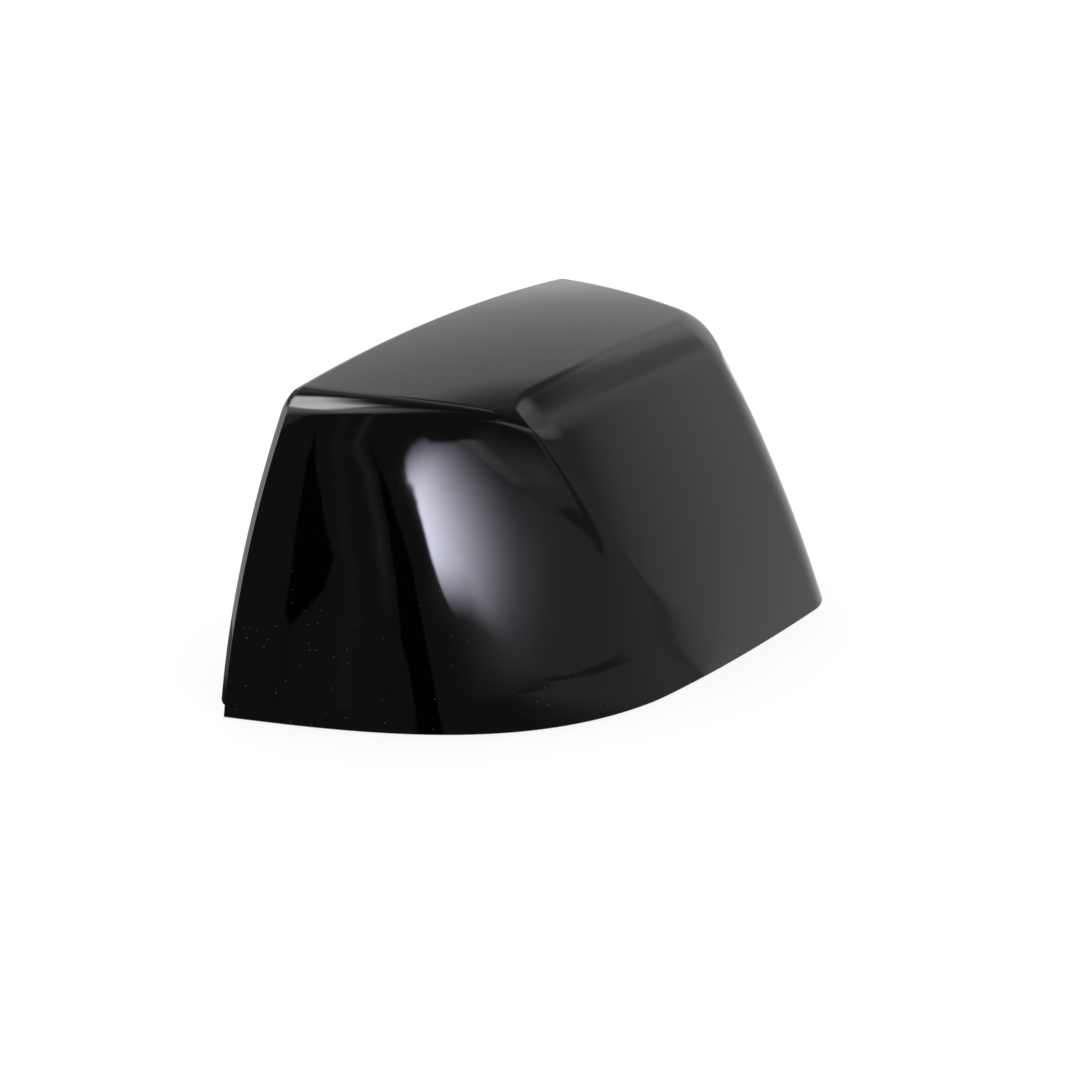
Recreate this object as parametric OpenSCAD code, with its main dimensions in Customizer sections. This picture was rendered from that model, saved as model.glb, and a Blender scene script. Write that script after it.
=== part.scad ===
// Wing mirror cover: one moulded shell that snaps onto the front of a door mirror housing.
// The working frame has X along the rear opening from the outer end to the inner end, Y from front to rear
// with the rear opening at y = 0, and Z up from the rim. The finished part is then centred, lip and all, over
// the middle of its base.

/* [Overall size] */
// Width of the rim, from the outer end to the inner end
cover_width = 242; // [225:1:265]
// Depth of the rim, from the rear opening to the nose
cover_depth = 109; // [98:1:125]
// Height of the top at the middle of the rear opening
cover_height = 115.2; // [105:0.1:130]
// Height at which the upper plan sizes below are measured
upper_level = 100; // [90:1:110]
// Wall thickness
wall = 2.5; // [2:0.1:3.5]
// Break on the cut edges of the rim and the rear opening
edge_break = 0.6; // [0.3:0.1:1]

/* [Outer end] */
// Lean of the outer rear edge at the rim, in degrees
outer_lean = 8.6; // [5:0.1:13]
// Barrel radius of that edge, seen from the rear
outer_barrel_r = 239; // [200:1:400]
// Plan angle of the outer wall at the rim, from straight ahead, in degrees
outer_rim_angle = 19.5; // [14:0.5:26]
// Plan angle of the outer wall at the upper level, in degrees
outer_top_angle = 4.8; // [1:0.1:10]
// Hollow of the outer wall at mid-height
outer_hollow = 2.8; // [0:0.1:5]

/* [Crease] */
// Distance of the crease from the outer end at the rim
crease_rim_x = 112.1; // [104:0.1:120]
// Distance of the crease from the outer end at the upper level
crease_top_x = 66.9; // [60:0.1:74]
// Bow of the crease at mid-height
crease_bow = 3.3; // [1:0.1:6]
// Plan angle of the nose where it meets the crease at the rim, in degrees
nose_rim_angle = 88; // [80:0.5:88]
// Plan angle of the nose where it meets the crease at the upper level, in degrees
nose_top_angle = 24.7; // [20:0.1:34]
// Fullness of the nose: what mid-height adds to an even change of that angle, in degrees
nose_fullness = 21.6; // [10:0.1:26]
// Radius along the crease
crease_r = 1.2; // [0.8:0.1:3]

/* [Front] */
// Lean of the front wall, in degrees
front_lean = 16.3; // [12:0.1:20]
// Bow of the front wall at mid-height
front_bow = 1.6; // [0.5:0.1:4]
// Plan radius of the front wall
front_plan_r = 960; // [600:10:1500]
// Distance of the foremost point of the front wall from the outer end
front_crown_x = 117; // [110:1:130]

/* [Inner end] */
// Lean of the inner wall at the rim, in degrees
inner_lean = 17.5; // [12:0.1:21]
// Barrel radius of the inner wall, seen from the rear
inner_barrel_r = 685; // [500:1:1000]
// Plan angle of the inner wall at the rim, in degrees
inner_rim_angle = 1.4; // [0:0.1:4]
// Plan angle of the inner wall at the upper level, in degrees
inner_top_angle = 1.7; // [0:0.1:5]
// Plan radius of the inner wall
inner_plan_r = 500; // [400:5:1200]
// Radius of the corner between the front wall and the inner wall
corner_r = 19; // [12:0.5:22]

/* [Top] */
// Rise of the top towards the inner end, in degrees
top_rise = 3.6; // [1:0.1:6]
// Crown radius of the top along the rear opening
top_crown_r = 620; // [500:1:1000]
// Rise of the top just ahead of the rear opening, in degrees
top_rear_rise = 1.7; // [0:0.1:4]
// Radius at which the top falls away towards the front
top_fall_r = 320; // [260:1:500]
// Radius from the top into the front wall
brow_r = 11; // [8:0.5:16]
// Radius from the top into the outer wall, at the rear opening
outer_brow_r = 5.6; // [4:0.1:9]
// Radius from the top into the outer wall, at the crease
crease_brow_r = 3; // [2:0.5:6]
// Radius from the top into the inner wall
inner_brow_r = 7; // [4:0.5:9]

/* [Rear lip] */
// Reach of the stepped lip past the rear opening
lip_reach = 2.5; // [1.5:0.1:4]
// Step from the outer surface down to the lip
lip_step = 1.2; // [0.8:0.1:1.6]
// Height at which the lip starts above the rim
lip_foot = 3.6; // [2:0.2:8]
// Corner radius at the foot of the lip
lip_corner_r = 2; // [0.5:0.1:2.4]

/* [Inside ribs] */
// Number of ribs that run under the top and down the front wall
rib_count = 3; // [1:1:4]
// Distance of the first rib from the outer end
rib_first_x = 112; // [108:1:125]
// Spacing of the ribs
rib_pitch = 30; // [12:1:32]
// Thickness of a rib
rib_t = 1.2; // [0.8:0.1:2]
// Height of a rib above the inner face
rib_h = 3; // [1.5:0.1:6]
// Height above the rim at which the ribs start on the front wall
rib_foot = 34; // [28:1:60]
// Distance of the ribs' rear ends from the rear opening
rib_set_back = 26; // [20:1:45]

/* [Snap clips] */
// Width of a clip
clip_w = 12; // [8:0.5:16]
// Thickness of a clip's arm
clip_t = 2; // [1.5:0.1:3]
// Reach of a clip's catch
clip_catch = 1.6; // [0.8:0.1:2.5]
// Length of the lead-in below a catch
clip_lead = 4; // [2:0.5:6]
// Number of clips under the top
top_clip_count = 3; // [1:1:3]
// Distance of the first top clip from the outer end
top_clip_first_x = 70; // [62:1:80]
// Spacing of the top clips
top_clip_pitch = 46; // [20:1:50]
// Distance of the top clips from the rear opening
top_clip_set_back = 12; // [8:0.5:14]
// Drop of a top clip below the inner face
top_clip_drop = 13; // [9:0.5:18]
// Number of clips on the front wall
rim_clip_count = 2; // [1:1:2]
// Distance of the first front clip from the outer end
rim_clip_first_x = 127; // [124:1:135]
// Spacing of the front clips
rim_clip_pitch = 60; // [30:1:65]
// Height of the front clips above the rim
rim_clip_z = 16; // [10:0.5:20]
// Reach of a front clip from the inner face
rim_clip_reach = 13; // [9:0.5:18]
// Run of the gusset behind a clip
gusset_run = 6; // [3:0.5:8]

/* [Hidden] */

PLASTIC = [0.05, 0.05, 0.055];

// The ribs and clips below are moulded on the hidden inside of the skin.
RIB_XS = [for (k = [0 : rib_count - 1]) rib_first_x + k*rib_pitch];
TOP_CLIP_XS = [for (k = [0 : top_clip_count - 1]) top_clip_first_x + k*top_clip_pitch];
RIM_CLIP_XS = [for (k = [0 : rim_clip_count - 1]) rim_clip_first_x + k*rim_clip_pitch];

// Distance over which one brow radius gives way to the next
BROW_BLEND = 20;
// Wall stations: outer wall, front wall, inner wall and height
OUTER_N = 18;
FRONT_N = 28;
RISE_N = 22;
RING_N = 2*OUTER_N + FRONT_N;
// How far stations crowd towards the ends of their run, from 0 to 1
CROWDING = 0.55;
// Steps and tolerance of the search for the skin along a ray
SEARCH_STEPS = 12;
SEARCH_TOL = 0.0005;
// Depth to which ribs and clips run into the wall
SEAT = wall/2;

function blend(a, b, t) = a + (b - a)*t;
function hump(t) = 4*t*(1 - t);
function clamp01(t) = min(1, max(0, t));
function ease(t) = let (c = clamp01(t)) c*c*(3 - 2*c);

// Distance to two surfaces that meet in an edge of radius r
function rounded(a, b, r) = (a + r > 0 && b + r > 0) ? norm([a + r, b + r]) - r : max(a, b);

// Plan of the cover at height z: the rear edges, the crease and the front wall
function outer_edge_x(z) = z*tan(outer_lean) + z*z/(2*outer_barrel_r);
function inner_edge_x(z) = cover_width - z*tan(inner_lean) - z*z/(2*inner_barrel_r);
function inner_angle(z) = blend(inner_rim_angle, inner_top_angle, z/upper_level);
function front_y(x, z) =
    let (u = x - front_crown_x)
    z*tan(front_lean) - cover_depth - front_bow*hump(z/upper_level) + u*u/(2*front_plan_r);
function crease_x(z) = blend(crease_rim_x, crease_top_x, z/upper_level) + crease_bow*hump(z/upper_level);
function crease_at(z) = [crease_x(z), front_y(crease_x(z), z)];
function corner_at(z) = let (x = inner_edge_x(z) - tan(inner_angle(z))*cover_depth) [x, front_y(x, z)];
function top_z(x, y) =
    let (u = x - cover_width/2)
    cover_height + u*tan(top_rise) - u*u/(2*top_crown_r) - y*tan(top_rear_rise) - y*y/(2*top_fall_r);

// Rise of the outer wall over its chord, at a share t of the chord, for a wall that leaves its two ends at
// slopes a and b and is hollowed by c in the middle, and the slope of that rise
function swell(t, chord, a, b, c) = chord*(a*t*pow(1 - t, 2) + b*t*t*(1 - t)) - c*hump(t);
function swell_slope(t, chord, a, b, c) = a*(1 - t)*(1 - 3*t) + b*t*(2 - 3*t) - 4*c*(1 - 2*t)/chord;

// Plan angle of the nose at the crease, which stays full to mid-height and turns away above it
function nose_angle(level) = blend(nose_rim_angle, nose_top_angle, level) + nose_fullness*hump(level);

// Distance outside the outer wall, which runs from the rear edge to the crease
function outer_wall(q, z) =
    let (
        level = z/upper_level,
        start = [outer_edge_x(z), 0],
        run = crease_at(z) - start,
        chord = norm(run),
        dir = run/chord,
        heading = atan2(dir.x, -dir.y),
        a = tan(heading - blend(outer_rim_angle, outer_top_angle, level)),
        b = tan(nose_angle(level) - heading),
        c = outer_hollow*hump(level),
        share = (q - start)*dir/chord,
        t = clamp01(share),
        slope = swell_slope(t, chord, a, b, c)
    )
    (cross(q - start, dir) - swell(t, chord, a, b, c) - (share - t)*slope*chord)/norm([1, slope]);

// Distance outside the front wall and the inner wall
function front_wall(q, z) = (front_y(q.x, z) - q.y)/norm([1, (q.x - front_crown_x)/front_plan_r]);
function inner_wall(q, z) =
    let (a = inner_angle(z), d = q - [inner_edge_x(z), 0], s = d*[sin(a), cos(a)])
    d*[cos(a), -sin(a)] + s*s/(2*inner_plan_r);

// Distance outside the whole skin, negative inside
function skin(p) =
    let (
        q = [p.x, p.y],
        outer = outer_wall(q, p.z),
        front = front_wall(q, p.z),
        inner = inner_wall(q, p.z),
        walls = rounded(rounded(outer, front, crease_r), inner, corner_r)*cos(front_lean),
        by_outer = ease(0.5 + (outer - front)/BROW_BLEND),
        by_inner = ease(0.5 + (inner - front)/BROW_BLEND),
        outer_brow = blend(outer_brow_r, crease_brow_r, clamp01(-p.y/(cover_depth*0.75))),
        brow = blend(blend(brow_r, outer_brow, by_outer), inner_brow_r, by_inner)
    )
    rounded(walls, p.z - top_z(p.x, p.y), brow);

// The point at a depth below the skin on the ray from a base point through an aim point
function on_skin(base, aim, depth) = base + (aim - base)*search(base, aim - base, depth,
    0.5, skin(base + 0.5*(aim - base)) + depth, 1.3, skin(base + 1.3*(aim - base)) + depth, SEARCH_STEPS);
function search(base, d, depth, a, fa, b, fb, steps) =
    let (c = (a*fb - b*fa)/(fb - fa), fc = skin(base + c*d) + depth)
    (steps == 0 || abs(fc) < SEARCH_TOL) ? c
        : fc*fb < 0 ? search(base, d, depth, b, fb, c, fc, steps - 1)
        : search(base, d, depth, a, fa/2, c, fc, steps - 1);

// All rays of the skin start at the middle of the rear opening's foot, which keeps the rim level and the
// rear opening flat
SPINE = [cover_width/2, 0, 0];

// Stations from 0 to 1, crowded towards both ends, with one at the edge break first
function crowd(s) = blend(s, (1 - cos(180*s))/2, CROWDING);
function stations(n, first) = concat([0, first], [for (k = [1 : n - 1]) crowd(k/(n - 1))]);
OUTER_S = stations(OUTER_N, edge_break/cover_depth);
FRONT_S = [for (k = [0 : FRONT_N]) crowd(k/FRONT_N)];
RISE_S = stations(RISE_N, edge_break/cover_height);

// Plan point of ring station i at height z: along the outer wall, the front wall, then the inner wall
function ring_xy(i, z) =
    i <= OUTER_N ? blend([outer_edge_x(z), 0], crease_at(z), OUTER_S[i])
        : i <= OUTER_N + FRONT_N ? blend(crease_at(z), corner_at(z), FRONT_S[i - OUTER_N])
        : blend([inner_edge_x(z), 0], corner_at(z), OUTER_S[RING_N - i]);
function ring_top(i) =
    let (a = ring_xy(i, upper_level), b = ring_xy(i, top_z(a.x, a.y))) top_z(b.x, b.y);
RING_TOPS = [for (i = [0 : RING_N]) ring_top(i)];
function wall_aim(i, s) = let (z = s*RING_TOPS[i], q = ring_xy(i, z)) [q.x, q.y, z];
function top_aim(i, j) =
    let (q = blend(wall_aim(OUTER_N - j, 1), wall_aim(OUTER_N + FRONT_N + j, 1), FRONT_S[i]))
    [q.x, q.y, top_z(q.x, q.y)];

// The edge break draws the cut edges in by its own size
function break_at(i, row) = (i == 0 || i == RING_N || row == 0) ? edge_break : 0;

// One skin: rows of wall points from the rim up, then the rows of the top from the front to the rear
function skin_points(depth, broken) = concat(wall_points(depth, broken), top_points(depth, broken));
function wall_points(depth, broken) = [for (row = [0 : RISE_N], i = [0 : RING_N])
    on_skin(SPINE, wall_aim(i, RISE_S[row]), broken ? depth + break_at(i, row) : depth)];
function top_points(depth, broken) = [for (j = [1 : OUTER_N], i = [1 : FRONT_N - 1])
    on_skin(SPINE, top_aim(i, j), broken && j == OUTER_N ? depth + edge_break : depth)];
WALL_COUNT = (RISE_N + 1)*(RING_N + 1);
SKIN_COUNT = WALL_COUNT + OUTER_N*(FRONT_N - 1);

function wall_id(row, i) = row*(RING_N + 1) + i;
function top_id(j, i) =
    j == 0 ? wall_id(RISE_N, OUTER_N + i)
        : i == 0 ? wall_id(RISE_N, OUTER_N - j)
        : i == FRONT_N ? wall_id(RISE_N, OUTER_N + FRONT_N + j)
        : WALL_COUNT + (j - 1)*(FRONT_N - 1) + i - 1;
// Two triangles for each cell, seen from outside, or turned over for the inner skin
function cell(a, b, c, d, turned) = turned ? [[a, b, c], [a, c, d]] : [[a, c, b], [a, d, c]];
function shifted(faces, by) = [for (f = faces) [for (id = f) id + by]];
function skin_faces(turned) = concat(
    [for (row = [0 : RISE_N - 1], i = [0 : RING_N - 1])
        let (up = row + 1)
        each cell(wall_id(row, i), wall_id(row, i + 1), wall_id(up, i + 1), wall_id(up, i), turned)],
    [for (j = [0 : OUTER_N - 1], i = [0 : FRONT_N - 1])
        each cell(top_id(j, i), top_id(j, i + 1), top_id(j + 1, i + 1), top_id(j + 1, i), turned)]
);
// The open edge of a skin: along the rim, up the inner rear edge, back over the top and down the outer edge
OPEN_EDGE = concat(
    [for (i = [0 : RING_N - 1]) wall_id(0, i)],
    [for (row = [0 : RISE_N - 1]) wall_id(row, RING_N)],
    [for (i = [0 : FRONT_N - 1]) top_id(OUTER_N, FRONT_N - i)],
    [for (row = [0 : RISE_N - 1]) wall_id(RISE_N - row, 0)]
);
EDGE_FACES = [for (k = [0 : len(OPEN_EDGE) - 1])
    let (a = OPEN_EDGE[k], b = OPEN_EDGE[(k + 1) % len(OPEN_EDGE)])
    each cell(a, a + SKIN_COUNT, b + SKIN_COUNT, b, false)];

module shell() {
    polyhedron(
        points = concat(skin_points(0, true), skin_points(wall, false)),
        faces = concat(skin_faces(false), shifted(skin_faces(true), SKIN_COUNT), EDGE_FACES),
        convexity = 6
    );
}

// The stepped lip behind the rear opening, one band along both ends and the top
LIP_N = 14;
// Play that keeps the lip's inner face just inside the wall
LIP_INNER = 0.15;
// Run of the lip inside the wall, ahead of the rear opening
LIP_ROOT = 1.5;
function lip_s(i, k) = blend(0.5*lip_foot/RING_TOPS[i], 1, crowd(k/LIP_N));
LIP_AIMS = concat(
    [for (k = [0 : LIP_N]) wall_aim(0, lip_s(0, k))],
    [for (i = [1 : FRONT_N - 1]) top_aim(i, OUTER_N)],
    [for (k = [0 : LIP_N]) wall_aim(RING_N, lip_s(RING_N, LIP_N - k))]
);
function rear_line(depth) = [for (aim = LIP_AIMS) let (p = on_skin(SPINE, aim, depth)) [p.x, p.z]];
function turned_round(list) = [for (k = [1 : len(list)]) list[len(list) - k]];

module lip() {
    difference() {
        translate([0, lip_reach, 0]) rotate([90, 0, 0]) linear_extrude(lip_reach + LIP_ROOT)
            intersection() {
                polygon(concat(rear_line(lip_step), turned_round(rear_line(wall - LIP_INNER))));
                translate([0, lip_foot]) square([cover_width, cover_height]);
            }
        rotate([90, 0, 90]) linear_extrude(cover_width)
            translate([lip_reach - lip_corner_r, lip_foot]) difference() {
                translate([0, -1]) square(lip_corner_r + 1);
                translate([0, lip_corner_r]) circle(lip_corner_r, $fn = 48);
            }
    }
}

// A plate across the cover at x, given by its outline in Y and Z
module plate(x, t) {
    translate([x - t/2, 0, 0]) rotate([90, 0, 90]) linear_extrude(t) polygon($outline);
}

// A rib follows the skin up the front wall and back under the top
RIB_N = 7;
function rib_aims(x) =
    let (z1 = top_z(x, front_y(x, upper_level)), y1 = front_y(x, z1))
    concat(
        [for (k = [0 : RIB_N]) let (z = blend(rib_foot, z1, crowd(k/RIB_N))) [x, front_y(x, z), z]],
        [for (k = [1 : RIB_N]) let (y = blend(y1, -rib_set_back, crowd(k/RIB_N))) [x, y, top_z(x, y)]]
    );
function rib_line(x, depth) =
    [for (aim = rib_aims(x)) let (p = on_skin([x, 0, 0], aim, depth)) [p.y, p.z]];
module rib(x) {
    plate(x, rib_t, $outline = concat(rib_line(x, SEAT), turned_round(rib_line(x, wall + rib_h))));
}

// A clip that hangs from the top, its catch to the rear and a gusset ahead of it
module top_clip(x) {
    y = -top_clip_set_back;
    root = top_z(x, y) - SEAT;
    end = top_z(x, y) - wall - top_clip_drop;
    plate(x, clip_w, $outline = [
        [y, root], [y, end], [y + clip_t/2, end], [y + clip_t + clip_catch, end + clip_lead],
        [y + clip_t, end + clip_lead], [y + clip_t, root]
    ]);
    plate(x, rib_t, $outline = [
        [y - gusset_run, root], [y, root - wall - gusset_run], [y + clip_t/2, root - wall - gusset_run],
        [y + clip_t/2, root]
    ]);
}

// A clip that reaches back from the front wall, its catch downwards and a gusset over it
module rim_clip(x) {
    z = rim_clip_z;
    root = front_y(x, z) + SEAT;
    end = front_y(x, z) + wall + rim_clip_reach;
    plate(x, clip_w, $outline = [
        [root, z], [end - clip_lead, z], [end - clip_lead, z - clip_catch], [end, z + clip_t/2],
        [end, z + clip_t], [root, z + clip_t]
    ]);
    toe = root + wall + gusset_run;
    crest = z + clip_t + gusset_run;
    plate(x, rib_t, $outline = [
        [root, z + clip_t/2], [toe, z + clip_t/2], [toe, z + clip_t], [front_y(x, crest) + SEAT, crest]
    ]);
}

module mirror_cover() {
    color(PLASTIC) translate([-cover_width/2, (cover_depth - lip_reach)/2, 0]) {
        shell();
        lip();
        for (x = RIB_XS) rib(x);
        for (x = TOP_CLIP_XS) top_clip(x);
        for (x = RIM_CLIP_XS) rim_clip(x);
    }
}

mirror_cover();
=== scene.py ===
"""A wing mirror cover: one gloss black moulded shell with a stepped rear lip, ribs and snap clips inside."""
import math

import bmesh
import bpy
import numpy as np
from mathutils import Matrix, Vector


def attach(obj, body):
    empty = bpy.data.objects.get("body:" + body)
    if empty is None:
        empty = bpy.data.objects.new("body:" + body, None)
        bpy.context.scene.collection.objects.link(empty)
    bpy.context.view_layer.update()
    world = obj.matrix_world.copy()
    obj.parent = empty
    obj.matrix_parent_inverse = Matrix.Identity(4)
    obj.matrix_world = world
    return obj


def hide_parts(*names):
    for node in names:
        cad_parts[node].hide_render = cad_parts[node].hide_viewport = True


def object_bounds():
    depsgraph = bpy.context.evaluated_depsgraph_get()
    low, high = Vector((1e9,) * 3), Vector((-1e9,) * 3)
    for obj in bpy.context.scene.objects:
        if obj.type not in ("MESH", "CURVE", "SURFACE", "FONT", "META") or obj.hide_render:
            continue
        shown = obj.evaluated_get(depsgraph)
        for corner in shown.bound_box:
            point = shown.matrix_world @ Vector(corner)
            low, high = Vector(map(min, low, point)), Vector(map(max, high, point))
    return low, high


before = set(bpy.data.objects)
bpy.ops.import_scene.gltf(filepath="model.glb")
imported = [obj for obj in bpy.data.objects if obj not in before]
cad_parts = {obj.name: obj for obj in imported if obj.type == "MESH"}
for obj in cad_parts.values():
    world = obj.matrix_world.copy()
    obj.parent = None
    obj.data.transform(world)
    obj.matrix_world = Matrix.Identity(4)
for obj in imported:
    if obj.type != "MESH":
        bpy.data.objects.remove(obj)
CAD_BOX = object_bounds()

# Sizes of the moulding in millimetres, as in the part's source. The working frame has X along the rear
# opening from the outer end to the inner end, Y from front to rear with the opening at 0, and Z up.
WIDTH, DEPTH, HEIGHT, UPPER = 242.0, 109.0, 115.2, 100.0
WALL, EDGE = 2.5, 0.6
OUTER_LEAN, OUTER_BARREL, OUTER_RIM, OUTER_TOP, OUTER_HOLLOW = 8.6, 239.0, 19.5, 4.8, 2.8
CREASE_RIM_X, CREASE_TOP_X, CREASE_BOW, CREASE_R = 112.1, 66.9, 3.3, 1.2
NOSE_RIM, NOSE_TOP, NOSE_FULLNESS = 88.0, 24.7, 21.6
FRONT_LEAN, FRONT_BOW, FRONT_PLAN, FRONT_CROWN_X = 16.3, 1.6, 960.0, 117.0
INNER_LEAN, INNER_BARREL, INNER_RIM, INNER_TOP, INNER_PLAN, CORNER_R = 17.5, 685.0, 1.4, 1.7, 500.0, 19.0
TOP_RISE, TOP_CROWN, TOP_REAR_RISE, TOP_FALL = 3.6, 620.0, 1.7, 320.0
BROW_R, OUTER_BROW_R, CREASE_BROW_R, INNER_BROW_R, BROW_BLEND, BROW_RUN = 11.0, 5.6, 3.0, 7.0, 20.0, 0.75
LIP_REACH, LIP_STEP, LIP_FOOT, LIP_CORNER, LIP_BREAK = 2.5, 1.2, 3.6, 2.0, 0.25
RIB_XS, RIB_T, RIB_H, RIB_FOOT, RIB_SET_BACK = (112.0, 142.0, 172.0), 1.2, 3.0, 34.0, 26.0
CLIP_W, CLIP_T, CLIP_CATCH, CLIP_LEAD, GUSSET = 12.0, 2.0, 1.6, 4.0, 6.0
TOP_CLIP_XS, TOP_CLIP_SET_BACK, TOP_CLIP_DROP = (70.0, 116.0, 162.0), 12.0, 13.0
RIM_CLIP_XS, RIM_CLIP_Z, RIM_CLIP_REACH = (127.0, 187.0), 16.0, 13.0
PLATE_BREAK, RIB_BREAK = 0.2, 0.25
# The depth at which ribs and clips are rooted, the way to the part's frame, and the point that the shell is
# spread out from
SEAT = WALL / 2
TO_FRAME = np.array([-WIDTH / 2, (DEPTH - LIP_REACH) / 2, 0.0])
SPINE = np.array([WIDTH / 2, 0.0, 0.0])

# How the mesh is made: steps of the search for the skin, how close counts as in a plane and at a depth, and the
# turns from which an edge is sharp (radians) and shaded sharp (degrees)
HALVINGS, IN_PLANE, AT_DEPTH, SHARP, SHADED_SHARP = 34, 0.01, 0.1, 1.0, 40


# The form of the skin

def tan(degrees):
    return np.tan(np.radians(degrees))


def blend(a, b, t):
    return a + (b - a) * t


def hump(t):
    return 4 * t * (1 - t)


def ease(t):
    c = np.clip(t, 0, 1)
    return c * c * (3 - 2 * c)


def rounded(a, b, r):
    """Distance to two surfaces that meet in an edge of radius r."""
    u, v = a + r, b + r
    return np.where((u > 0) & (v > 0), np.hypot(np.maximum(u, 0), np.maximum(v, 0)) - r, np.maximum(a, b))


def outer_edge_x(z):
    return z * tan(OUTER_LEAN) + z * z / (2 * OUTER_BARREL)


def inner_edge_x(z):
    return WIDTH - z * tan(INNER_LEAN) - z * z / (2 * INNER_BARREL)


def front_y(x, z):
    u = x - FRONT_CROWN_X
    return z * tan(FRONT_LEAN) - DEPTH - FRONT_BOW * hump(z / UPPER) + u * u / (2 * FRONT_PLAN)


def crease_x(z):
    return blend(CREASE_RIM_X, CREASE_TOP_X, z / UPPER) + CREASE_BOW * hump(z / UPPER)


def corner_x(z):
    return inner_edge_x(z) - tan(blend(INNER_RIM, INNER_TOP, z / UPPER)) * DEPTH


def top_z(x, y):
    u = x - WIDTH / 2
    return (HEIGHT + u * tan(TOP_RISE) - u * u / (2 * TOP_CROWN)
            - y * tan(TOP_REAR_RISE) - y * y / (2 * TOP_FALL))


def outer_wall(x, y, z):
    """Distance outside the outer wall, a sweep from the rear edge to the crease."""
    level = z / UPPER
    start = outer_edge_x(z)
    run_x, run_y = crease_x(z) - start, front_y(crease_x(z), z)
    chord = np.hypot(run_x, run_y)
    dx, dy = run_x / chord, run_y / chord
    heading = np.degrees(np.arctan2(dx, -dy))
    a = tan(heading - blend(OUTER_RIM, OUTER_TOP, level))
    b = tan(blend(NOSE_RIM, NOSE_TOP, level) + NOSE_FULLNESS * hump(level) - heading)
    c = -OUTER_HOLLOW * hump(level)
    share = ((x - start) * dx + y * dy) / chord
    t = np.clip(share, 0, 1)
    rise = chord * (a * t * (1 - t) ** 2 + b * t * t * (1 - t)) + c * hump(t)
    slope = a * (1 - t) * (1 - 3 * t) + b * t * (2 - 3 * t) + 4 * c * (1 - 2 * t) / chord
    return ((x - start) * dy - y * dx - rise - (share - t) * slope * chord) / np.hypot(1, slope)


def front_wall(x, y, z):
    return (front_y(x, z) - y) / np.hypot(1, (x - FRONT_CROWN_X) / FRONT_PLAN)


def inner_wall(x, y, z):
    a = np.radians(blend(INNER_RIM, INNER_TOP, z / UPPER))
    d = x - inner_edge_x(z)
    s = d * np.sin(a) + y * np.cos(a)
    return d * np.cos(a) - y * np.sin(a) + s * s / (2 * INNER_PLAN)


def skin(p):
    """Distance outside the whole skin, negative inside."""
    x, y, z = p[:, 0], p[:, 1], p[:, 2]
    outer, front, inner = outer_wall(x, y, z), front_wall(x, y, z), inner_wall(x, y, z)
    walls = rounded(rounded(outer, front, CREASE_R), inner, CORNER_R) * np.cos(np.radians(FRONT_LEAN))
    by_outer = ease(0.5 + (outer - front) / BROW_BLEND)
    by_inner = ease(0.5 + (inner - front) / BROW_BLEND)
    outer_brow = blend(OUTER_BROW_R, CREASE_BROW_R, np.clip(-y / (DEPTH * BROW_RUN), 0, 1))
    brow = blend(blend(BROW_R, outer_brow, by_outer), INNER_BROW_R, by_inner)
    return rounded(walls, z - top_z(x, y), brow)


def on_skin(base, aim, depth):
    """The points at a depth below the skin on the rays from the base through the aim points."""
    d = aim - base
    low, high = np.full(len(aim), 0.5), np.full(len(aim), 1.5)
    for _ in range(HALVINGS):
        middle = (low + high) / 2
        outside = skin(base + middle[:, None] * d) + depth > 0
        high = np.where(outside, middle, high)
        low = np.where(outside, low, middle)
    return base + ((low + high) / 2)[:, None] * d


# Mesh helpers

def coordinates(verts):
    return np.array([v.co for v in verts], float).reshape(-1, 3)


def place(verts, points):
    for v, p in zip(verts, points):
        v.co = p


def spaced(u, first, last):
    """Stations from 0 to 1 whose first and last steps are these shares of the mean step."""
    return first * u * (1 - u) ** 2 + u * u * (3 - 2 * u) - last * u * u * (1 - u)


def crisp(bm, degrees):
    for f in bm.faces:
        f.smooth = True
    limit = math.radians(degrees)
    for e in bm.edges:
        e.smooth = e.is_manifold and e.calc_face_angle(0) < limit


def depths(verts):
    return -skin(coordinates(verts))


def cut_edges(bm, axes, a, b):
    """Edges that lie in the planes of the cut edges and run between these two depths below the skin."""
    flat = [e for e in bm.edges if any(all(abs(v.co[axis]) < IN_PLANE for v in e.verts) for axis in axes)]
    ends = np.sort(depths([v for e in flat for v in e.verts]).reshape(-1, 2), axis=1)
    near = (abs(ends - (a, b)) < AT_DEPTH).all(axis=1)
    return [e for e, chosen in zip(flat, near) if chosen]


def soften(bm, edges, size, steps):
    """Round off edges of a moulded piece by this size in millimetres."""
    bmesh.ops.bevel(bm, geom=edges, offset=size, offset_type="OFFSET", segments=steps, profile=0.5,
                    affect="EDGES", clamp_overlap=True, material=-1)


# The shell

# Steps of the grid, and its first and last step each way as shares of the mean step
ALONG, BACK, UP = 96, 80, 78
ALONG_ENDS, BACK_ENDS, UP_ENDS = (0.14, 0.5), (1.0, 0.16), (0.9, 0.28)
# Steps up from the rim, close together at the rounded foot of the lip
FOOT_STEPS = np.array([0, 0.9, 1.8, 2.7, LIP_FOOT, 3.8, 4.1, 4.5, 5.0, LIP_FOOT + LIP_CORNER, 6.4, 7.6])


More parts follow.
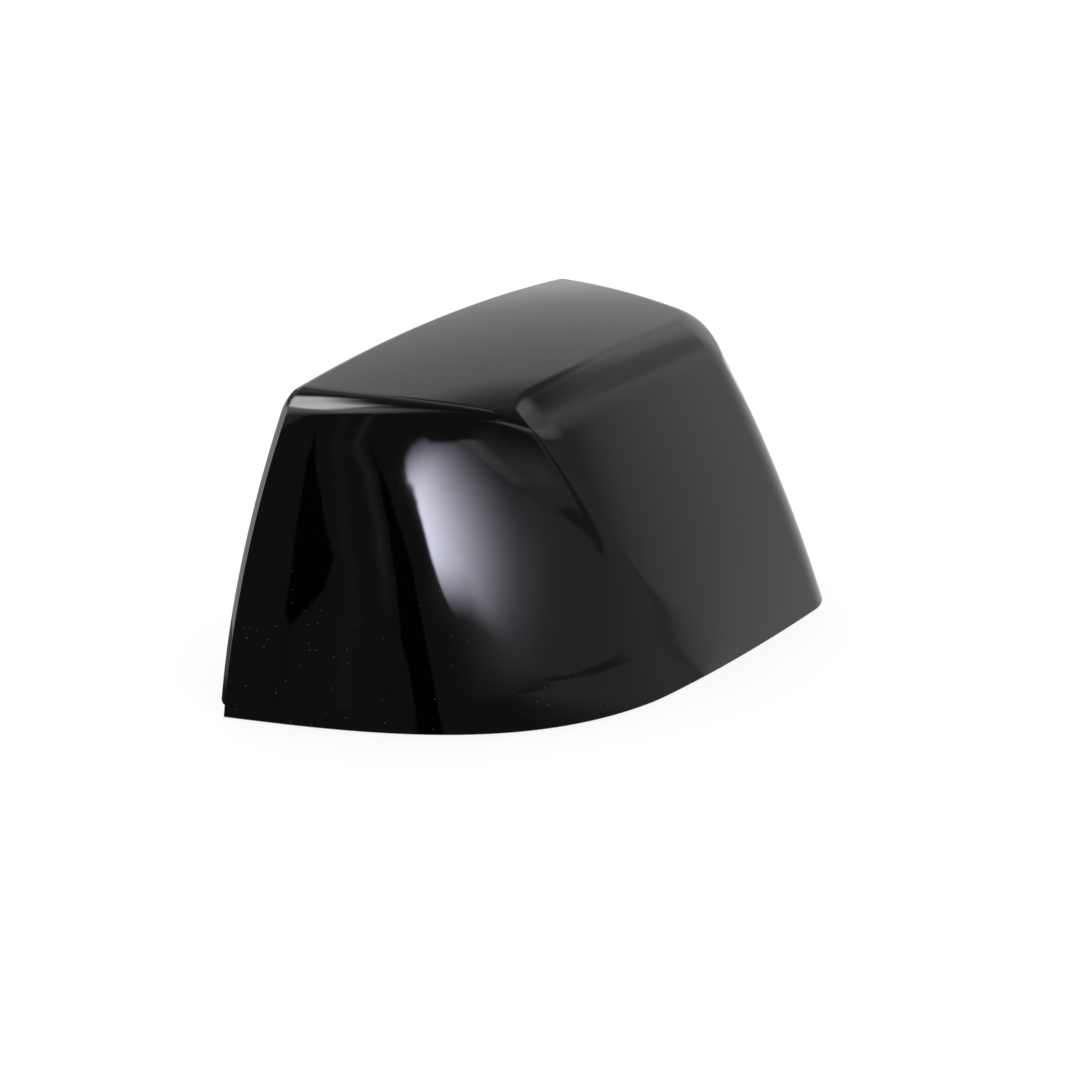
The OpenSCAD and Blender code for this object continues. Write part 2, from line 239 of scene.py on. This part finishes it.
def open_box():
    """A unit box without its rear and its bottom, cut into a grid."""
    bm = bmesh.new()
    bmesh.ops.create_cube(bm, size=1.0)
    bmesh.ops.translate(bm, verts=bm.verts, vec=(0.5, 0.5, 0.5))
    open_sides = [f for f in bm.faces if f.calc_center_median().y > 0.9 or f.calc_center_median().z < 0.1]
    bmesh.ops.delete(bm, geom=open_sides, context="FACES")
    for axis, steps in enumerate((ALONG, BACK, len(FOOT_STEPS) - 1 + UP)):
        whole = [e for e in bm.edges if abs(e.verts[0].co[axis] - e.verts[1].co[axis]) > 0.9]
        bmesh.ops.subdivide_edges(bm, edges=whole, cuts=steps - 1, use_grid_fill=True)
    return bm


def shell_aims(unit):
    """Points on the cover's sharp outline for points on the unit box."""
    along = spaced(unit[:, 0], *ALONG_ENDS)
    back = spaced(1 - unit[:, 1], *BACK_ENDS)

    def plan(z):
        near = blend(outer_edge_x(z), crease_x(z), back), front_y(crease_x(z), z) * back
        far = blend(inner_edge_x(z), corner_x(z), back), front_y(corner_x(z), z) * back
        return blend(near[0], far[0], along), blend(near[1], far[1], along)

    top = top_z(*plan(top_z(*plan(UPPER))))
    row = unit[:, 2] * (len(FOOT_STEPS) - 1 + UP)
    foot = len(FOOT_STEPS) - 1
    low = np.interp(row, np.arange(foot + 1), FOOT_STEPS)
    share = np.clip((row - foot) / UP, 0, 1)
    high = FOOT_STEPS[-1] + (top - FOOT_STEPS[-1]) * spaced(share, *UP_ENDS)
    z = np.where(row <= foot, low, high)
    x, y = plan(z)
    return np.stack([x, y, z], 1)


def shell():
    bm = open_box()
    outside = bm.verts[:]
    grown = bmesh.ops.extrude_face_region(bm, geom=bm.faces[:], use_keep_orig=True)["geom"]
    inside = [g for g in grown if isinstance(g, bmesh.types.BMVert)]
    for f in [g for g in grown if isinstance(g, bmesh.types.BMFace)]:
        f.material_index = 1
    place(outside, on_skin(SPINE, shell_aims(coordinates(outside)), 0.0))
    place(inside, on_skin(SPINE, shell_aims(coordinates(inside)), WALL))

    # The cut end of the wall is stepped behind the rear opening, and its inner half runs on as the lip
    stepped = [e for e in cut_edges(bm, (1,), 0, WALL) if all(v.co.z > LIP_FOOT * 0.95 for v in e.verts)]
    cut = bmesh.ops.subdivide_edges(bm, edges=stepped, cuts=1)["geom_inner"]
    middle = [g for g in cut if isinstance(g, bmesh.types.BMVert)]
    place(middle, on_skin(SPINE, coordinates(middle), LIP_STEP))
    rear = [f for f in bm.faces if len(f.verts) == 4 and all(abs(v.co.y) < IN_PLANE for v in f.verts)]
    lip = [f for f in rear if max(abs(depths(f.verts) - WALL)) < WALL - LIP_STEP + AT_DEPTH
           and min(abs(depths(f.verts) - LIP_STEP)) < AT_DEPTH]
    grown = bmesh.ops.extrude_face_region(bm, geom=lip)["geom"]
    bmesh.ops.delete(bm, geom=lip, context="FACES")
    for v in [g for g in grown if isinstance(g, bmesh.types.BMVert)]:
        into_corner = min(max(LIP_FOOT + LIP_CORNER - v.co.z, 0), LIP_CORNER)
        v.co.y = LIP_REACH - LIP_CORNER + math.sqrt(LIP_CORNER ** 2 - into_corner ** 2)
    bmesh.ops.recalc_face_normals(bm, faces=bm.faces[:])

    # Broken edges: the painted cut edge all round, then the lip's own edges and the inner edge of the rim
    soften(bm, cut_edges(bm, (1, 2), 0, 0), EDGE, 4)
    soften(bm, cut_edges(bm, (2,), WALL, WALL), LIP_BREAK, 2)
    behind = [e for e in bm.edges if all(v.co.y > IN_PLANE for v in e.verts)]
    soften(bm, [e for e in behind if e.calc_face_angle(0) > SHARP], LIP_BREAK, 2)
    return bm


# The ribs and the clips, moulded on the inside

def plate(outline, x, thickness):
    """A plate across the cover, from its outline in Y and Z."""
    bm = bmesh.new()
    corners = [bm.verts.new((x - thickness / 2, y, z)) for y, z in outline]
    side = bmesh.ops.contextual_create(bm, geom=corners)["faces"]
    grown = bmesh.ops.extrude_face_region(bm, geom=side, use_keep_orig=True)["geom"]
    far = [g for g in grown if isinstance(g, bmesh.types.BMVert)]
    bmesh.ops.translate(bm, verts=far, vec=(thickness, 0, 0))
    bmesh.ops.recalc_face_normals(bm, faces=bm.faces[:])
    soften(bm, bm.edges[:], PLATE_BREAK, 2)
    return bm


def top_clip(x):
    """A clip that hangs from the top, its catch to the rear, and the gusset ahead of it."""
    y = -TOP_CLIP_SET_BACK
    root, end = top_z(x, y) - SEAT, top_z(x, y) - WALL - TOP_CLIP_DROP
    face, toe = y + CLIP_T, root - WALL - GUSSET
    return [
        plate([(y, root), (y, end), (y + CLIP_T / 2, end), (face + CLIP_CATCH, end + CLIP_LEAD),
               (face, end + CLIP_LEAD), (face, root)], x, CLIP_W),
        plate([(y - GUSSET, root), (y, toe), (y + CLIP_T / 2, toe), (y + CLIP_T / 2, root)], x, RIB_T),
    ]


def rim_clip(x):
    """A clip that reaches back from the front wall, its catch downwards, and the gusset over it."""
    z = RIM_CLIP_Z
    root, end = front_y(x, z) + SEAT, front_y(x, z) + WALL + RIM_CLIP_REACH
    toe, crest = root + WALL + GUSSET, z + CLIP_T + GUSSET
    return [
        plate([(root, z), (end - CLIP_LEAD, z), (end - CLIP_LEAD, z - CLIP_CATCH), (end, z + CLIP_T / 2),
               (end, z + CLIP_T), (root, z + CLIP_T)], x, CLIP_W),
        plate([(root, z + CLIP_T / 2), (toe, z + CLIP_T / 2), (toe, z + CLIP_T),
               (front_y(x, crest) + SEAT, crest)], x, RIB_T),
    ]


def rib(x, steps=56):
    """A rib that follows the skin up the front wall and back under the top."""
    bm = bmesh.new()
    bmesh.ops.create_cube(bm, size=1.0)
    bmesh.ops.translate(bm, verts=bm.verts, vec=(0.5, 0.5, 0.5))
    run = [e for e in bm.edges if abs(e.verts[0].co.y - e.verts[1].co.y) > 0.9]
    bmesh.ops.subdivide_edges(bm, edges=run, cuts=steps - 1, use_grid_fill=True)
    unit = coordinates(bm.verts)
    brow_z = top_z(x, front_y(x, UPPER))
    brow_y = front_y(x, brow_z)
    share = (brow_z - RIB_FOOT) / (brow_z - RIB_FOOT - brow_y - RIB_SET_BACK)
    z = blend(RIB_FOOT, brow_z, np.clip(unit[:, 1] / share, 0, 1))
    y = blend(brow_y, -RIB_SET_BACK, np.clip((unit[:, 1] - share) / (1 - share), 0, 1))
    rising = unit[:, 1] < share
    y, z = np.where(rising, front_y(x, z), y), np.where(rising, z, top_z(x, y))
    base = np.array([x, 0.0, 0.0])
    points = on_skin(base, np.stack([np.full(len(y), x), y, z], 1), blend(SEAT, WALL + RIB_H, unit[:, 2]))
    points[:, 0] += (unit[:, 0] - 0.5) * RIB_T
    place(bm.verts, points)
    bmesh.ops.recalc_face_normals(bm, faces=bm.faces[:])
    free = [e for e in bm.edges if e.calc_face_angle(0) > SHARP and min(depths(e.verts)) > WALL]
    soften(bm, free, RIB_BREAK, 2)
    return bm


def join(bm, part):
    """Add a rib or clip, in the bare finish of the inside."""
    for f in part.faces:
        f.material_index = 1
    loose = bpy.data.meshes.new("loose")
    part.to_mesh(loose)
    part.free()
    bm.from_mesh(loose)
    bpy.data.meshes.remove(loose)


# Materials

# Waves, patches and cells of specks to the metre in the gloss, and grains and flow marks inside
WAVES, HAZE, SPECKS, GRAIN, FLOW = 160.0, 22.0, 330.0, 2600.0, 14.0
# A speck's solid middle and its soft edge, by distance from the middle of its cell
SPECK, SPECK_EDGE = 0.03, 0.08
BLACK, DUST = (0.0005, 0.0005, 0.0005, 1), (0.16, 0.16, 0.16, 1)
INSIDE_DARK, INSIDE_PALE = (0.014, 0.014, 0.015, 1), (0.022, 0.022, 0.023, 1)
PLASTIC_IOR = 1.5
# How strong the lilac of the soft light is in blue, and in red and green
LILAC_BLUE, LILAC_REST = 1.18, 0.98


class Number:
    """A number in a material, so that shader sums read as plain arithmetic."""

    def __init__(self, socket):
        self.socket = socket

    def sum(self, operation, a, b):
        tree = self.socket.node.id_data
        node = tree.nodes.new("ShaderNodeMath")
        node.operation = operation
        for place_in, value in zip(node.inputs, (a, b)):
            if isinstance(value, Number):
                tree.links.new(value.socket, place_in)
            else:
                place_in.default_value = value
        return Number(node.outputs[0])

    def __add__(self, other):
        return self.sum("ADD", self, other)

    def __radd__(self, other):
        return self.sum("ADD", other, self)

    def __sub__(self, other):
        return self.sum("SUBTRACT", self, other)

    def __rsub__(self, other):
        return self.sum("SUBTRACT", other, self)

    def __mul__(self, other):
        return self.sum("MULTIPLY", self, other)

    def __rmul__(self, other):
        return self.sum("MULTIPLY", other, self)

    def __truediv__(self, other):
        return self.sum("DIVIDE", self, other)


class Finish:
    """The node tree of a material or of the world."""

    def __init__(self, owner):
        owner.use_nodes = True
        self.tree = owner.node_tree
        self.tree.nodes.clear()

    def node(self, kind, settings=None, inputs=None):
        made = self.tree.nodes.new(kind)
        for name, value in (settings or {}).items():
            if name == "stops":
                ramp = made.color_ramp
                while len(ramp.elements) < len(value):
                    ramp.elements.new(1.0)
                for stop, (at, colour) in zip(ramp.elements, value):
                    stop.position, stop.color = at, colour
            else:
                setattr(made, name, value)
        for name, value in (inputs or {}).items():
            if isinstance(value, Number):
                value = value.socket
            if isinstance(value, bpy.types.NodeSocket):
                self.tree.links.new(value, made.inputs[name])
            else:
                made.inputs[name].default_value = value
        return made.outputs

    def number(self, kind, settings=None, inputs=None, out=0):
        return Number(self.node(kind, settings, inputs)[out])

    def between(self, value, low, high):
        """0 at low, 1 at high, and a soft rise between."""
        return self.number("ShaderNodeMapRange", {"interpolation_type": "SMOOTHSTEP"},
                           {"Value": value, "From Min": low, "From Max": high})

    def line(self, at, points, low=-200.0, high=50.0):
        """The height of a bent line at a place along it, from a few of its points between low and high."""
        start, end = points[0][0], points[-1][0]
        stops = [((x - start) / (end - start), ((y - low) / (high - low),) * 3 + (1.0,)) for x, y in points]
        ramp = self.number("ShaderNodeValToRGB", {"stops": stops}, {"Fac": (at - start) * (1 / (end - start))})
        return ramp * (high - low) + low

    def above_zero(self, value):
        return value.sum("MAXIMUM", value, 0.0)

    def power(self, value, exponent):
        return value.sum("POWER", value, exponent)

    def fade(self, value):
        """1 at zero, dying away as the value grows."""
        return value.sum("POWER", 2.718, 0.0 - self.above_zero(value))

    def room(self, x, y):
        """How bright the room is in a level direction."""
        across = x * math.sin(ROOM_SIDE) - y * math.cos(ROOM_SIDE)
        return self.line(across / self.power(x * x + y * y, 0.5), ROOM, 0.0, 1.0)

    def grey(self, value, lilac=None):
        """A neutral brightness and a lilac one, added up to a colour."""
        blue, rest = (lilac * LILAC_BLUE + value, lilac * LILAC_REST + value) if lilac else (value, value)
        return self.node("ShaderNodeCombineColor", None, {"Red": rest, "Green": rest, "Blue": blue})["Color"]


def gloss_black():
    """High-gloss black, with the slight waviness of a moulded surface and a little dust."""
    material = bpy.data.materials.new("gloss_black")
    f = Finish(material)
    where = f.node("ShaderNodeTexCoord")["Object"]
    waves = f.number("ShaderNodeTexNoise", None, {"Vector": where, "Scale": WAVES, "Detail": 1.0})
    haze = f.number("ShaderNodeTexNoise", None, {"Vector": where, "Scale": HAZE, "Detail": 3.0})
    spot = f.number("ShaderNodeTexVoronoi", None, {"Vector": where, "Scale": SPECKS})
    place_in = f.node("ShaderNodeSeparateXYZ", None, {"Vector": where})
    # Dust lies most by the lower corner of the rear edge at the outer end
    towards_corner = f.between(Number(place_in["Z"]) * 1.1 + Number(place_in["X"]) * 0.55, 0.03, -0.06)
    dust = (1.0 - f.between(spot, SPECK, SPECK_EDGE)) * (towards_corner * 0.9 + 0.06)
    colour = f.node("ShaderNodeMix", {"data_type": "RGBA"}, {"Factor": dust, "A": BLACK, "B": DUST})["Result"]
    bump = f.node("ShaderNodeBump", None, {"Strength": 0.05, "Distance": 0.0002, "Height": waves})["Normal"]
    roughness = haze * 0.03 + dust * 0.5 + 0.035
    surface = f.node("ShaderNodeBsdfPrincipled", None, {
        "Base Color": colour, "Roughness": roughness, "IOR": PLASTIC_IOR, "Normal": bump})["BSDF"]
    f.node("ShaderNodeOutputMaterial", None, {"Surface": surface})
    return material


def moulded_inside():
    """The bare back of the moulding: satin black with a fine eroded grain and faint flow marks."""
    material = bpy.data.materials.new("moulded_inside")
    f = Finish(material)
    where = f.node("ShaderNodeTexCoord")["Object"]
    grain = f.number("ShaderNodeTexNoise", None, {"Vector": where, "Scale": GRAIN, "Detail": 2.0})
    flow = f.number("ShaderNodeTexNoise", None,
                    {"Vector": where, "Scale": FLOW, "Detail": 4.0, "Distortion": 0.8})
    colour = f.node("ShaderNodeMix", {"data_type": "RGBA"},
                    {"Factor": flow, "A": INSIDE_DARK, "B": INSIDE_PALE})["Result"]
    bump = f.node("ShaderNodeBump", None, {"Strength": 0.35, "Distance": 0.00008, "Height": grain})["Normal"]
    surface = f.node("ShaderNodeBsdfPrincipled", None, {
        "Base Color": colour, "Roughness": flow * 0.12 + 0.36, "IOR": PLASTIC_IOR, "Normal": bump})["BSDF"]
    f.node("ShaderNodeOutputMaterial", None, {"Surface": surface})
    return material


# The finished cover

cover = shell()
for x in RIB_XS:
    join(cover, rib(x))
for x in TOP_CLIP_XS:
    for part in top_clip(x):
        join(cover, part)
for x in RIM_CLIP_XS:
    for part in rim_clip(x):
        join(cover, part)
crisp(cover, SHADED_SHARP)
# Into the part's frame in metres, and not a hair outside the box of the solids
low, high = np.array(CAD_BOX[0]), np.array(CAD_BOX[1])
place(cover.verts, np.clip((coordinates(cover.verts) + TO_FRAME) * 0.001, low, high))
mesh = bpy.data.meshes.new("cover_shell")
cover.to_mesh(mesh)
cover.free()
mesh.materials.append(gloss_black())
mesh.materials.append(moulded_inside())
shell_object = bpy.data.objects.new("cover_shell", mesh)
bpy.context.scene.collection.objects.link(shell_object)
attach(shell_object, "root")
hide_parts("mirror_cover")


# Floor, light and camera

FLOOR_SIZE, FLOOR_COLOUR, FLOOR_GLOW = 6.0, (0.3, 0.3, 0.3, 1), 0.75


def flat(name, width, height):
    """A flat sheet of stage, with its middle at the origin and its size in metres."""
    bm = bmesh.new()
    bmesh.ops.create_grid(bm, x_segments=8, y_segments=8, size=0.5)
    bmesh.ops.scale(bm, verts=bm.verts, vec=(width, height, 1))
    mesh = bpy.data.meshes.new(name)
    bm.to_mesh(mesh)
    bm.free()
    made = bpy.data.objects.new(name, mesh)
    bpy.context.scene.collection.objects.link(made)
    return made


def floor():
    """A pale floor that takes a shadow, and is white to the camera and in reflections."""
    material = bpy.data.materials.new("floor_white")
    f = Finish(material)
    seen = f.node("ShaderNodeLightPath")
    glow = Number(seen["Is Camera Ray"]) + Number(seen["Is Glossy Ray"]) + Number(seen["Is Transmission Ray"])
    matte = f.node("ShaderNodeBsdfDiffuse", None, {"Color": FLOOR_COLOUR})["BSDF"]
    shine = f.node("ShaderNodeEmission", None, {"Strength": glow * FLOOR_GLOW})["Emission"]
    both = f.node("ShaderNodeAddShader")
    made = both["Shader"].node
    f.tree.links.new(matte, made.inputs[0])
    f.tree.links.new(shine, made.inputs[1])
    f.node("ShaderNodeOutputMaterial", None, {"Surface": both["Shader"]})
    flat("floor", FLOOR_SIZE, FLOOR_SIZE).data.materials.append(material)


# What the gloss sees of the photographer's studio: a dark wall card close to the cover's outer end with an
# opening to a soft light behind it, the floor, and the room. Only reflections see them. Places on the cards are
# in millimetres, on the wall card sideways and up from the point of the floor that faces the outer end. A
# brightness of 1 is white.
CARD_AZIMUTH, CARD_DISTANCE, CARD_WIDTH, CARD_HEIGHT, CARD_SHIFT = -75.0, 0.14, 2.0, 0.15, 0.85
FLOOR_CARD_LIFT = 0.0004
# The room's brightness by how far a level direction turns away from its bright side
ROOM_SIDE = math.radians(100)
ROOM = ((-1.0, 0.37), (0.57, 0.36), (0.598, 0.27), (0.612, 0.28), (0.625, 0.44), (0.645, 0.6), (0.69, 0.78),
        (0.77, 0.95), (0.9, 1.0))
# The direction of the floor behind the wall card
BEHIND_CARD = math.radians(-68)
# Two black gaps in the wall card, each by the lines of its left and right side: height, then place sideways
WIDE_GAP = (((38, -75), (44, -78), (71, -80), (101, -86), (134, -99)),
            ((38, -75), (45, -70), (58, -61), (73, -58), (101, -73), (134, -99)))
LONG_GAP = (((-20, -6), (25, -14), (39, -18), (71, -21), (92, -26), (109, -37), (121, -53)),
            ((-20, 8), (37, -2), (60, -6), (79, -10), (91, -17), (104, -28), (121, -53)))
GAP_BLUR = 0.7
# The middle of a faint pale fold between them, and how far a second one lies to the left of the long gap
FOLD = ((0, -46), (70, -48), (90, -55), (110, -64), (130, -78))
NEAR_FOLD_OFFSET = 7.0
FOLD_WIDTH, NEAR_FOLD_WIDTH = 5.0, 3.5
# The brightness of the card and of its folds, and what its right part has on top of that
CARD_GREY, FOLD_GREY, NEAR_FOLD_GREY = 0.105, 0.04, 0.12
RIGHT_GREY, RIGHT_GREY_PER_MM, UPPER_RIGHT_GREY = 0.07, 0.009, 0.12
# The opening: the line of its left side, where its edges fade, and how its sill falls to the right of a place
OPENING_SIDE = ((60, 20), (72, 12), (80.5, 7), (91.5, 0.5), (97, -3.5), (101.5, -8.5), (104.5, -13), (106, -17),
                (108, -20), (113, -26))
SIDE_FADE, SILL_FADE, TOP_FADE, TOP_ENDS = (-1.2, 1.8), (58.0, 90.0), (111.0, 116.0), (90.0, 180.0)
SILL_BEND, SILL_FALL = 35.0, 0.5
# The brightness of the dark cloth on the floor, what the pale floor has on top of that and loses in a darker
# stretch, and what the floor has behind the wall card and behind the cover
CLOTH_GREY, PALE_GREY, AHEAD_DARK, BEHIND_CARD_GREY, REAR_GREY = 0.11, 0.75, 0.55, 0.9, 0.8
# Brightness in the room: a lamp and its faint tail, the soft light, a backdrop, the ceiling, the dark part over
# the outer end, what the rear adds, and what two shaded places lose
LAMP, TAIL, SOFT_LIGHT, BACKDROP, CEILING, DARK_PART, REAR_ADDS = 7.5, 2.2, 270.0, 2.5, 0.18, 0.11, 0.1
INNER_SHADE, REAR_SHADE = 0.3, 0.22
# How fast the soft light dies away from its middle
SOFT_LIGHT_FALL = 10.4


def card(name, width, height, picture, opening=None):
    """A glowing sheet that only reflections see, with places on it in millimetres."""
    material = bpy.data.materials.new(name)
    f = Finish(material)
    where = f.node("ShaderNodeSeparateXYZ", None, {"Vector": f.node("ShaderNodeTexCoord")["Object"]})
    place_in = f, Number(where["X"]) * 1000.0, Number(where["Y"]) * 1000.0
    shine = f.grey(picture(*place_in))
    surface = f.node("ShaderNodeEmission", None, {"Color": shine, "Strength": 1.0})["Emission"]
    if opening:
        mix = f.node("ShaderNodeMixShader", None, {"Fac": opening(*place_in)})["Shader"]
        f.tree.links.new(surface, mix.node.inputs[1])
        f.tree.links.new(f.node("ShaderNodeBsdfTransparent")["BSDF"], mix.node.inputs[2])
        surface = mix
    f.node("ShaderNodeOutputMaterial", None, {"Surface": surface})
    material.cycles.emission_sampling = "NONE"
    made = flat(name, width, height)
    made.data.materials.append(material)
    for kind in ("camera", "diffuse", "transmission", "volume_scatter", "shadow"):
        setattr(made, "visible_" + kind, False)
    return made


def wall_picture(f, u, z):
    """The dark wall card: black gaps, pale folds and a paler right part."""
    def gap(sides):
        left, right = f.line(z, sides[0]), f.line(z, sides[1])
        return f.between(u - left, -GAP_BLUR, GAP_BLUR) * f.between(right - u, -GAP_BLUR, GAP_BLUR)

    def fold(middle, width):
        across = (u - middle) * (1 / width)
        return f.fade(across * across)

    right = f.between(u, 5.0, 80.0) * (z * RIGHT_GREY_PER_MM + RIGHT_GREY)
    right = right + f.between(z, 45.0, 75.0) * f.between(u, -3.0, 10.0) * UPPER_RIGHT_GREY
    near_fold = fold(f.line(z, LONG_GAP[0]) - NEAR_FOLD_OFFSET, NEAR_FOLD_WIDTH) * f.between(z, 40.0, 85.0)
    folds = near_fold * NEAR_FOLD_GREY + fold(f.line(z, FOLD), FOLD_WIDTH) * FOLD_GREY
    return (folds + right + CARD_GREY) * (1.0 - gap(WIDE_GAP)) * (1.0 - gap(LONG_GAP))


def wall_opening(f, u, z):
    """The opening in the wall card: a sharp left side, a soft sill and a top that ends to the right."""
    sill = f.between(z + f.above_zero(u - SILL_BEND) * SILL_FALL, *SILL_FADE)
    top = 1.0 - f.between(z, *TOP_FADE) * (1.0 - f.between(u, *TOP_ENDS))
    return f.between(u - f.line(z, OPENING_SIDE), *SIDE_FADE) * sill * top


def floor_picture(f, x, y):
    """The dark cloth before the cover's outer end, which gives way to a pale floor to the right."""
    # A narrow black gap across the cloth, which closes in to the right
    across, far_side = y - x * 0.53, (x + 93.0) * -0.1 + 41.0
    gap = f.between(across, 30.0, 32.0) * (1.0 - f.between(across - far_side, -1.0, 1.0))
    gap = gap * f.between(x, -150.0, -144.0) * (1.0 - f.between(x, -88.0, -80.0))
    # A darker stretch of the floor straight ahead of the front, which fades out far away but not on the right
    away = f.power(x * x + y * y, 0.5)
    side, rear = x / away, y / away
    ahead = (1.0 - f.between(rear, -0.95, -0.88)) * f.between(side, -0.47, -0.31)
    ahead = ahead * f.between(away, 330.0, 450.0)
    ahead = ahead * (1.0 - f.between(away, 700.0, 1600.0) * (1.0 - f.between(side, 0.0, 0.2)))
    pale = f.between(x - y, -40.0, 55.0) * f.room(x, y + 50.0) * (PALE_GREY - ahead * AHEAD_DARK)
    towards_card = (x * math.sin(BEHIND_CARD) - y * math.cos(BEHIND_CARD)) / away
    behind_card = f.between(away, 150.0, 900.0) * f.between(towards_card, 0.86, 1.0) * BEHIND_CARD_GREY
    behind_cover = f.between(y, 90.0, 180.0) * REAR_GREY
    return (pale + behind_card + behind_cover + CLOTH_GREY) * (1.0 - gap)


def sky_picture(f, x, y, z):
    """The room all round, and the soft light behind the opening.

    A direction's height z is the sine of its elevation. Facing and bearing are the cosine of its angle to a
    direction, in the open and on the level, by azimuth and elevation in degrees.
    """
    def facing(azimuth, elevation):
        a, e = math.radians(azimuth), math.radians(elevation)
        level = x * math.sin(a) - y * math.cos(a)
        return level * math.cos(e) + z * math.sin(e)

    def bearing(azimuth):
        a = math.radians(azimuth)
        return (x * math.sin(a) - y * math.cos(a)) / f.power(x * x + y * y, 0.5)

    rear = f.between(bearing(150), 0.90, 0.99)
    ceiling = f.between(z, 0.62, 0.80) * (1.0 - rear)
    ceiling = ceiling + (1.0 - ceiling) * f.between(facing(122, 50), 0.965, 0.99)
    dark = f.between(facing(-75, 35), 0.55, 0.75)
    lamp = f.between(bearing(-145), 0.82, 0.94) * f.between(z, 0.66, 0.72) * (1.0 - f.between(z, 0.82, 0.93))
    tail = f.between(bearing(-118), 0.80, 1.0) * f.between(z, 0.45, 0.7) * (1.0 - f.between(z, 0.75, 0.9))
    backdrop = f.between(bearing(-160), 0.80, 0.92) * (1.0 - f.between(z, 0.5, 0.6))
    lights = lamp * LAMP + tail * TAIL + backdrop * BACKDROP
    glow = f.fade((1.0 - facing(-92.9, 57.7)) * SOFT_LIGHT_FALL) * SOFT_LIGHT
    glow = glow * f.between(bearing(15), 0.02, 0.26) * (1.0 - f.between(z, 0.42, 0.47))
    # The walls, whose foot is as bright as the pale floor that meets it, with two places that are shaded
    raised = f.between(z, 0.0, 0.2)
    walls = f.room(x, y) * (raised * (1 - PALE_GREY) + PALE_GREY)
    walls = walls + (1.0 - raised) * CLOTH_GREY + rear * REAR_ADDS
    shade = f.between(facing(74, 36), 0.97, 0.995) * INNER_SHADE
    walls = walls * (1.0 - shade - f.between(facing(125, 29), 0.94, 0.99) * REAR_SHADE)
    room = walls * (1.0 - ceiling) + ceiling * CEILING
    return room * (1.0 - dark) + dark * DARK_PART + lights, glow


def cards():
    azimuth = math.radians(CARD_AZIMUTH)
    wall = card("wall_card", CARD_WIDTH, CARD_HEIGHT, wall_picture, wall_opening)
    wall.data.transform(Matrix.Translation((CARD_SHIFT, CARD_HEIGHT / 2, 0)))
    wall.location = (math.sin(azimuth) * CARD_DISTANCE, -math.cos(azimuth) * CARD_DISTANCE, 0)
    wall.rotation_euler = (math.pi / 2, 0, azimuth)
    card("floor_card", FLOOR_SIZE, FLOOR_SIZE, floor_picture).location = (0, 0, FLOOR_CARD_LIFT)


def studio():
    """White all round for the camera and for plain surfaces; the gloss sees the room."""
    world = bpy.data.worlds.new("studio")
    bpy.context.scene.world = world
    f = Finish(world)
    seen = f.node("ShaderNodeLightPath")
    towards = f.node("ShaderNodeSeparateXYZ", None, {"Vector": f.node("ShaderNodeTexCoord")["Generated"]})
    room, glow = sky_picture(f, *(Number(towards[axis]) for axis in "XYZ"))
    colour = f.node("ShaderNodeMix", {"data_type": "RGBA"},
                    {"Factor": seen["Is Glossy Ray"], "A": (1, 1, 1, 1), "B": f.grey(room, glow)})
    sky = f.node("ShaderNodeBackground", None, {"Color": colour["Result"], "Strength": 1.0})["Background"]
    f.node("ShaderNodeOutputWorld", None, {"Surface": sky})


# The photograph's view: its direction and distance, the point it was set out from, and how far to the left of
# and below that point the camera aims
VIEW_AZIMUTH, VIEW_ELEVATION, VIEW_DISTANCE = math.radians(-52.819), math.radians(18.854), 0.9
VIEW_MIDDLE, AIM_LEFT, AIM_BELOW = (-0.006, 0.00325, 0.05), 0.002876, 0.007596


def camera():
    """In front of the outer end, a little above."""
    azimuth, elevation = VIEW_AZIMUTH, VIEW_ELEVATION
    away = Vector((math.sin(azimuth) * math.cos(elevation), -math.cos(azimuth) * math.cos(elevation),
                   math.sin(elevation)))
    right = Vector((math.cos(azimuth), math.sin(azimuth), 0))
    target = Vector(VIEW_MIDDLE) - right * AIM_LEFT - away.cross(right) * AIM_BELOW
    data = bpy.data.cameras.new("camera")
    data.sensor_width, data.lens = 36.0, 85.2
    data.clip_start, data.clip_end = 0.01, 50.0
    made = bpy.data.objects.new("camera", data)
    bpy.context.scene.collection.objects.link(made)
    made.location = target + away * VIEW_DISTANCE
    made.rotation_euler = away.to_track_quat("Z", "Y").to_euler()
    bpy.context.scene.camera = made


floor()
cards()
studio()
camera()
bpy.context.scene.view_settings.view_transform = "Standard"
